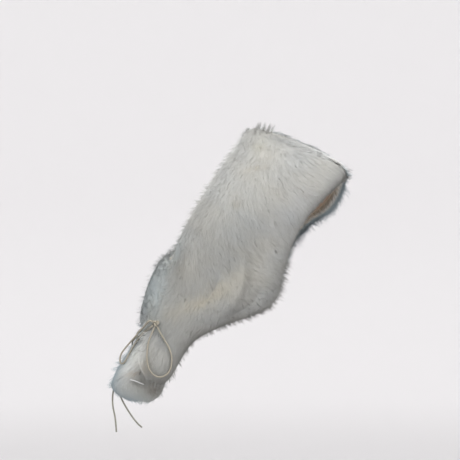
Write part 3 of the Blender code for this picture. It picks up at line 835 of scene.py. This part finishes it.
def colour_hair(surface, half, kind, roots, rows, columns, random):
    """The colour at every corner of the hairs, between the coat's own and the rim's darker tone."""
    tips = coat_colours(roots.places, uneven(1, roots, SHADE_SPREADS, random))
    # Painted light over the turned-in edge, and painted shade deeper in from the rim
    if kind.place == "turned":
        from_rim = read_grid(surface.from_rim, roots.rows, roots.columns)
        deep_shade = INNER_SHADE_STRENGTH * np.clip((from_rim - INNER_SHADE_START) / (INNER_SHADE_END - INNER_SHADE_START), 0, 1)
        tips = TURNED_PAINTED_LIGHT * tips * (1 - deep_shade) + INNER_SHADE_COLOUR * deep_shade
    colours = tips[:, None, :] * (1 - ROOT_SHADE_SHARES[None, :, None] * (1 - ROOT_PAINTED_SHADE))
    near = np.clip(rows, 0, FINE_ROWS - 1), np.clip(columns, 0, FINE_COLUMNS - 1)
    # Painted shade near the rims, where the surface turns away, and on the tips of tufts, fringe and crest
    rim = read_grid(surface.rim_tone, *near)
    if kind.place == "turned":
        rim = rim**TURNED_FADE
    least = kind.tint * LEAST_TIP_SHADE * (kind.place in SHADED_TIP_KINDS)
    sideways = SIDE_SHADE * read_grid(surface.sideways, *near)
    rim = np.maximum(rim, np.maximum(sideways, least * HAIR_SHARES[None, :, None]))
    return (colours * (1 - rim) + np.array(half.rim_tint) * rim)[:, CORNER_LEVELS]


def place_hair(surface, roots, strokes, offset):
    """Where the corners of the hairs lie on the flat pelt, for the bake."""
    lying = np.stack([np.sin(strokes.angle), np.cos(strokes.angle)], axis=1)[:, None, :]
    beside = np.stack([lying[:, :, 1], -lying[:, :, 0]], axis=2)
    steps = (strokes.reach[:, None] * HAIR_SHARES)[:, CORNER_LEVELS][:, :, None]
    start = read_grid(surface.flat, roots.rows, roots.columns)[:, None, :]
    return bake_places(start + lying * steps + beside * offset)


def lay_hair(surface, half, kind, random):
    """Hairs of one kind over a half: their corners, normals, colours, bake places and rows."""
    density = density_of(kind.place, half, surface)
    count = int(HAIRS_IN_A_PIECE * half.pieces * kind.share)
    rows, columns = sow(surface, count, random, density)
    lock_count = int(count / kind.hairs_in_a_lock)
    lock_rows, lock_columns = sow(surface, lock_count, random, density)
    places = read_grid(surface.points, rows, columns)
    lock = lock_of_each(read_grid(surface.points, lock_rows, lock_columns), places)
    apart = rows - lock_rows[lock], columns - lock_columns[lock]
    roots = Roots(rows, columns, places, lock, lock_count, *apart)
    strokes = comb(surface, half, kind, roots, random)
    *path, normals, line = trace(surface, half, kind, roots, strokes)
    corners, offset, soft = widen(normals, line, random)
    colours = colour_hair(surface, half, kind, roots, *path, random)
    return corners, soft, colours, place_hair(surface, roots, strokes, offset), rows


def grow_hair(side, half, surface, material, group):
    """Covers a half with tapered hairs, drawn together in locks and combed along its nap."""
    random = np.random.default_rng(half.seed)
    grown = [lay_hair(surface, half, kind, random) for kind in half.kinds]
    corners, soft, colours, flat, rows = (np.concatenate(part) for part in zip(*grown))
    for number, part in enumerate(np.array_split(np.argsort(rows), half.pieces), 1):
        name = f"hair_{side}_{number}"
        loops = (HAIR_FACES + len(CORNER_LEVELS) * np.arange(len(part))[:, None]).ravel()
        sizes = np.tile(HAIR_FACE_SIZES, len(part))
        mesh = bare_mesh(name, corners[part].reshape(-1, 3), loops, sizes, flat[part].reshape(-1, 2))
        paint_points(mesh, colours[part].reshape(-1, 3))
        shown = soft[part].reshape(-1, 3)
        mesh.normals_split_custom_set_from_vertices(shown / norm(shown, axis=1)[:, None])
        put(name, mesh, material, group)


def crop(surface, setback):
    """The part of a half's surface that is set back from its free rims."""
    return Surface(*(grid[:-setback, setback:-setback] for grid in surface))


def outward(half, *grids):
    """Grids with their columns in the order in which a wall made from them faces outward."""
    return [grid[:, :: half.turn] for grid in grids]


def lay_sheet(name, node, half, part, walls, material, group):
    """A sheet over a part of a half, between its inner and outer wall."""
    coarse = [grid[COARSE] for grid in (*walls, bake_places(part.flat))]
    sheet = put(name, wall_mesh(name, *outward(half, *coarse)), material, group)
    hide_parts(node)
    cell_areas(part.points).sum()


def make_pelt(side, half, surface, materials, group):
    """The leather of a half and the short dense fur under its hair."""
    part = crop(surface, PELT_SETBACK)
    skin = part.points + part.normals * PELT_THICKNESS
    walls = (part.points, skin)
    lay_sheet("pelt_" + side, "fur_" + side, half, part, walls, materials["leather"], group)

    top = part.points + part.normals * part.depth * UNDERFUR_SHARE
    mesh = wall_mesh("underfur_" + side, *outward(half, skin, top, bake_places(part.flat)))
    places = part.points.reshape(-1, 3)
    # Painted shade near the rims and where the surface turns away, and the roots' painted shade
    rim = np.maximum(part.rim_tone, SIDE_SHADE * part.sideways).reshape(-1, 1)
    tone = coat_colours(places, np.ones(len(places))) * ROOT_PAINTED_SHADE
    tone = tone * (1 - rim) + np.array(half.rim_tint) * rim
    tone = outward(half, tone.reshape(*part.points.shape))[0].reshape(-1, 3)
    paint_points(mesh, np.concatenate([tone, tone]))
    put("underfur_" + side, mesh, materials["underfur"], group)


def make_lining(side, half, surface, material, group):
    """The satin lining of a half, set back from the fur's edge."""
    part = crop(surface, LINING_SETBACK)
    sag = LINING_SAG * np.clip(drift(part.points, SAG_SPAN, half.seed), 0, 1)[:, :, None]
    near = part.points - part.normals * (LINING_GAP + sag)
    far = near - part.normals * LINING_THICKNESS
    lay_sheet("satin_" + side, "lining_" + side, half, part, (far, near), material, group)


def beside_knot(place):
    """The point a gap away from the knot's skin, on the straight way to a place."""
    way = np.array(place) - KNOT_CENTRE
    return KNOT_CENTRE + way / norm(way) * (KNOT_RADIUS + TIE_GAP)


def tube_mesh(name, line, radius, closed=False):
    """A round tube along a line of points, with its seam kept straight."""
    ways = np.gradient(line, axis=0)
    if closed:
        ways = np.roll(line, -1, axis=0) - np.roll(line, 1, axis=0)
    ways /= norm(ways, axis=1)[:, None]
    side = np.cross(ways[0], SIDE_HINT)
    turns = np.linspace(0, 2 * np.pi, CORD_SIDES, endpoint=False)
    rings = []
    for point, way in zip(line, ways):
        side = side - way * np.dot(side, way)
        side /= norm(side)
        up = np.cross(way, side)
        rings.append(point + radius * (np.outer(np.cos(turns), side) + np.outer(np.sin(turns), up)))
    corners = np.array(rings).reshape(-1, 3)
    index = np.arange(len(corners)).reshape(-1, CORD_SIDES)
    start, end = (index, np.roll(index, -1, axis=0)) if closed else (index[:-1], index[1:])
    faces = [start, np.roll(start, -1, axis=1), np.roll(end, -1, axis=1), end]
    loops = np.stack(faces, axis=2).ravel()
    sizes = np.full(start.size, 4)
    if not closed:
        loops = np.concatenate([loops, index[0][::-1], index[-1]])
        sizes = np.concatenate([sizes, [CORD_SIDES] * 2])
    along = np.repeat(distances(line)[:, None], CORD_SIDES, axis=1)
    around = np.repeat(turns[None] * radius, len(line), axis=0)
    return bare_mesh(name, corners, loops, sizes, np.stack([along, around], axis=2).reshape(-1, 2))


def make_strand(name, route, returns, material, group):
    """One strand of the bow, from the knot along its route, and back to the knot if it is a loop."""
    places = [beside_knot(route[0]), *route]
    if returns:
        places.append(beside_knot(route[-1]))
    line = smooth_rows(places, CORD_RINGS, len(places[0]))
    strand = put(name, tube_mesh(name, line, CORD_WIDTH / 2), material, group)
    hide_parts("tie_" + name)
    length = norm(np.diff(line, axis=0), axis=1).sum()


def make_knot(material, group):
    """The knot of the bow: the cord wound through itself."""
    turns = np.linspace(0, 2 * np.pi, KNOT_TURNS, endpoint=False)
    x = np.sin(turns) + 2 * np.sin(2 * turns)
    z = np.cos(turns) - 2 * np.cos(2 * turns)
    y = -KNOT_DEPTH * np.sin(3 * turns)
    line = np.array(KNOT_CENTRE) + KNOT_SCALE * np.stack([x, y, z], axis=1)
    knot = put("knot", tube_mesh("knot", line, KNOT_CORD, closed=True), material, group)
    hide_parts("tie_knot")


def make_label(surface, material, group):
    """The small blank woven label on the longer tail."""
    rows, columns = np.linspace(LABEL_START, LABEL_END, LABEL_POINTS).T * GRID_RATIO
    skin = surface.points + surface.normals * surface.depth
    root = read_grid(skin, rows, columns)
    out = read_grid(surface.normals, rows, columns).mean(axis=0)
    out[2] -= LABEL_DROOP
    out /= norm(out)
    under = np.cross(out, root[-1] - root[0])
    under *= LABEL_THICKNESS / norm(under)
    steps = LABEL_GAP + LABEL_DEPTH * np.linspace(0, 1, LABEL_STEPS)
    upper = root[:, None] + out * steps[None, :, None]
    flat = np.stack(np.meshgrid(steps, np.linspace(0, LABEL_LENGTH, LABEL_POINTS)), axis=2)
    label = put("label", wall_mesh("label", upper, upper + under, flat), material, group)
    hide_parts("label_tab")


def dress(wire, look, tone, grain, height=None):
    """A finish's changing inputs: its colour, a roughness that follows its grain, and its relief."""
    inputs = {"Base Color": tone, "Roughness": look.rough + grain * look.rough_spread}
    if height is not None:
        relief = {"Strength": look.relief, "Distance": look.relief_depth, "Height": height}
        inputs["Normal"] = wire.node("Bump", {}, relief)
    return inputs


def shade_coat(wire, shade):
    """The coat's own colour at each point, in a lighter or darker shade."""
    tone = wire.node("Attribute", {"attribute_name": "coat"}, {})
    return wire.blend(1.0, tone, shade.grey(), "MULTIPLY")


def coat_paint(wire):
    """Colour of the hair: the coat's own tone, a little uneven along every hair."""
    fine = wire.noise(wire.place(), COAT.scale, COAT.detail)
    least, by_grain = COAT_SHADE
    return dress(wire, COAT, shade_coat(wire, least + fine * by_grain), fine)


def underfur_paint(wire):
    """Colour and relief of the short fur under the hair."""
    place = wire.place()
    fine = wire.noise(place, UNDERFUR.scale, UNDERFUR.detail)
    broad = wire.noise(place, *UNDERFUR_BROAD)
    least, by_grain, by_broad = UNDERFUR_SHADE
    return dress(wire, UNDERFUR, shade_coat(wire, least + fine * by_grain + broad * by_broad), fine, fine)


def grain_paint(look, painted_shades):
    """Colour and relief of leather or tape, which follow one even grain."""

    def paint(wire):
        grain = wire.noise(wire.place(), look.scale, look.detail)
        return dress(wire, look, wire.blend(grain, *painted_shades), grain, grain)

    return paint


def satin_paint(wire):
    """Colour and weave of the lining."""
    place = wire.place()
    soft = wire.noise(place, *SATIN_BROAD)
    drawn = wire.node("Mapping", {}, {"Vector": place, "Scale": SATIN_WEAVE})
    weave = wire.noise(drawn, SATIN.scale, SATIN.detail)
    tone = wire.blend(soft * BROAD_SHARE + weave * FINE_SHARE, *SATIN_TONES)
    return dress(wire, SATIN, tone, weave, soft + weave * WEAVE_RELIEF)


def cord_paint(painted_shades):
    """Colour and braid of the tie, between a low and a high tone."""

    def paint(wire):
        place = wire.node("UVMap", {"uv_map": "OFBake"}, {})
        turned = wire.node("Mapping", {}, {"Vector": place, "Scale": BRAID_SCALE, "Rotation": BRAID_TURN})
        waves = {"Vector": turned, "Scale": 1.0, "Distortion": BRAID_DISTORTION}
        braid = wire.node("TexWave", {}, waves, "Fac")
        worn = wire.noise(wire.place(), CORD.scale, CORD.detail)
        tone = wire.blend(worn * BROAD_SHARE + braid * FINE_SHARE, *painted_shades)
        return dress(wire, CORD, tone, worn, braid)

    return paint


def backdrop_paint(wire):
    """The plain pale floor and wall. The floor has more light on it, so it is a little darker."""
    place = wire.place()
    height = wire.node("SeparateXYZ", {}, {0: place}, "Z")
    up = height.steps_between(FLOOR_HEIGHT, FLOOR_HEIGHT + WALL_BLEND)
    away = wire.node("VectorMath", {"operation": "LENGTH"}, {0: place}, "Value")
    floor = wire.blend(away.steps_between(NEAR_FLOOR, FAR_FLOOR), NEAR_COLOUR, FLOOR_COLOUR)
    soft = wire.noise(place, BACKDROP.scale, BACKDROP.detail)
    return dress(wire, BACKDROP, wire.blend(up, floor, WALL_COLOUR), soft)


def stand(name, data):
    """Puts a camera, a lamp or a mesh in the scene, as no piece of the wrap."""
    made = bpy.data.objects.new(name, data)
    bpy.context.scene.collection.objects.link(made)
    return made


def place_camera():
    """A level camera in front of the wrap, far away, with a long lens."""
    camera = bpy.data.cameras.new("camera")
    camera.lens = LENS
    camera.sensor_width = SENSOR
    camera.clip_end = CLIP_END
    holder = stand("camera", camera)
    holder.location = CAMERA_PLACE
    holder.rotation_euler = (math.radians(CAMERA_TILT), 0, 0)
    bpy.context.scene.camera = holder


def make_backdrop():
    """A round floor that curves up into a wall."""
    turns = np.linspace(0, 2 * np.pi, BACKDROP_SEGMENTS, endpoint=False)
    bend = np.linspace(0, np.pi / 2, BEND_RINGS)
    radii = [*FLOOR_RADII, *(FLOOR_EDGE + BACKDROP_BEND * np.sin(bend)), FLOOR_EDGE + BACKDROP_BEND]
    rises = [*np.zeros(len(FLOOR_RADII)), *(BACKDROP_BEND * (1 - np.cos(bend))), BACKDROP_HEIGHT]
    x, y = np.outer(radii, np.cos(turns)), np.outer(radii, np.sin(turns))
    z = np.repeat(FLOOR_HEIGHT + np.array(rises), BACKDROP_SEGMENTS).reshape(x.shape)
    index = np.arange(x.size).reshape(x.shape)
    start, end = index[:-1], index[1:]
    faces = [start, end, np.roll(end, -1, axis=1), np.roll(start, -1, axis=1)]
    loops = np.stack(faces, axis=2).ravel()
    corners = np.stack([x, y, z], axis=2).reshape(-1, 3)
    mesh = bare_mesh("backdrop", corners, loops, np.full(start.size, 4))
    mesh.materials.append(finish("backdrop", backdrop_paint))
    backdrop = stand("backdrop", mesh)


def make_light():
    """A bright even room, and lamps above in front, at both sides and behind."""
    world = bpy.data.worlds.new("room")
    world.use_nodes = True
    room = world.node_tree.nodes["Background"].inputs
    room["Color"].default_value = ROOM_COLOUR
    room["Strength"].default_value = ROOM_STRENGTH
    bpy.context.scene.world = world
    for name, place, size, energy in LAMPS:
        light = bpy.data.lights.new(name, "AREA")
        light.size = size
        light.energy = energy
        holder = stand(name, light)
        holder.location = place
        to_wrap = Vector(LIT_PLACE) - holder.location
        holder.rotation_euler = to_wrap.to_track_quat("-Z", "Y").to_euler()
    bpy.context.scene.view_settings.view_transform = "Standard"


def main():
    place_camera()
    group = bpy.data.collections.new("dressed_wrap")
    bpy.context.scene.collection.children.link(group)
    cord = finish("tie_cord", cord_paint(CORD_TONES))
    shaded_cord = finish("shaded_tie_cord", cord_paint(SHADED_CORD_TONES))
    for hand, loop in (("right", LOOP_RIGHT), ("left", LOOP_LEFT)):
        make_strand("loop_" + hand, loop, True, cord, group)
    for hand, end in (("right", END_RIGHT), ("left", END_LEFT)):
        make_strand("end_" + hand, end, False, shaded_cord, group)
    make_knot(cord, group)
    materials = {
        "coat": finish("coat", coat_paint, COAT_SHEEN),
        "underfur": finish("underfur", underfur_paint, UNDERFUR_SHEEN),
        "leather": finish("leather", grain_paint(LEATHER, LEATHER_TONES)),
        "satin": finish("satin", satin_paint, SATIN_SHEEN),
        "tape": finish("label_tape", grain_paint(TAPE, TAPE_TONES)),
    }
    for side, half in HALVES.items():
        surface = make_surface(half)
        make_pelt(side, half, surface, materials, group)
        make_lining(side, half, surface, materials["satin"], group)
        grow_hair(side, half, surface, materials["coat"], group)
        if side == "back":
            make_label(surface, materials["tape"], group)
    make_backdrop()
    make_light()


main()
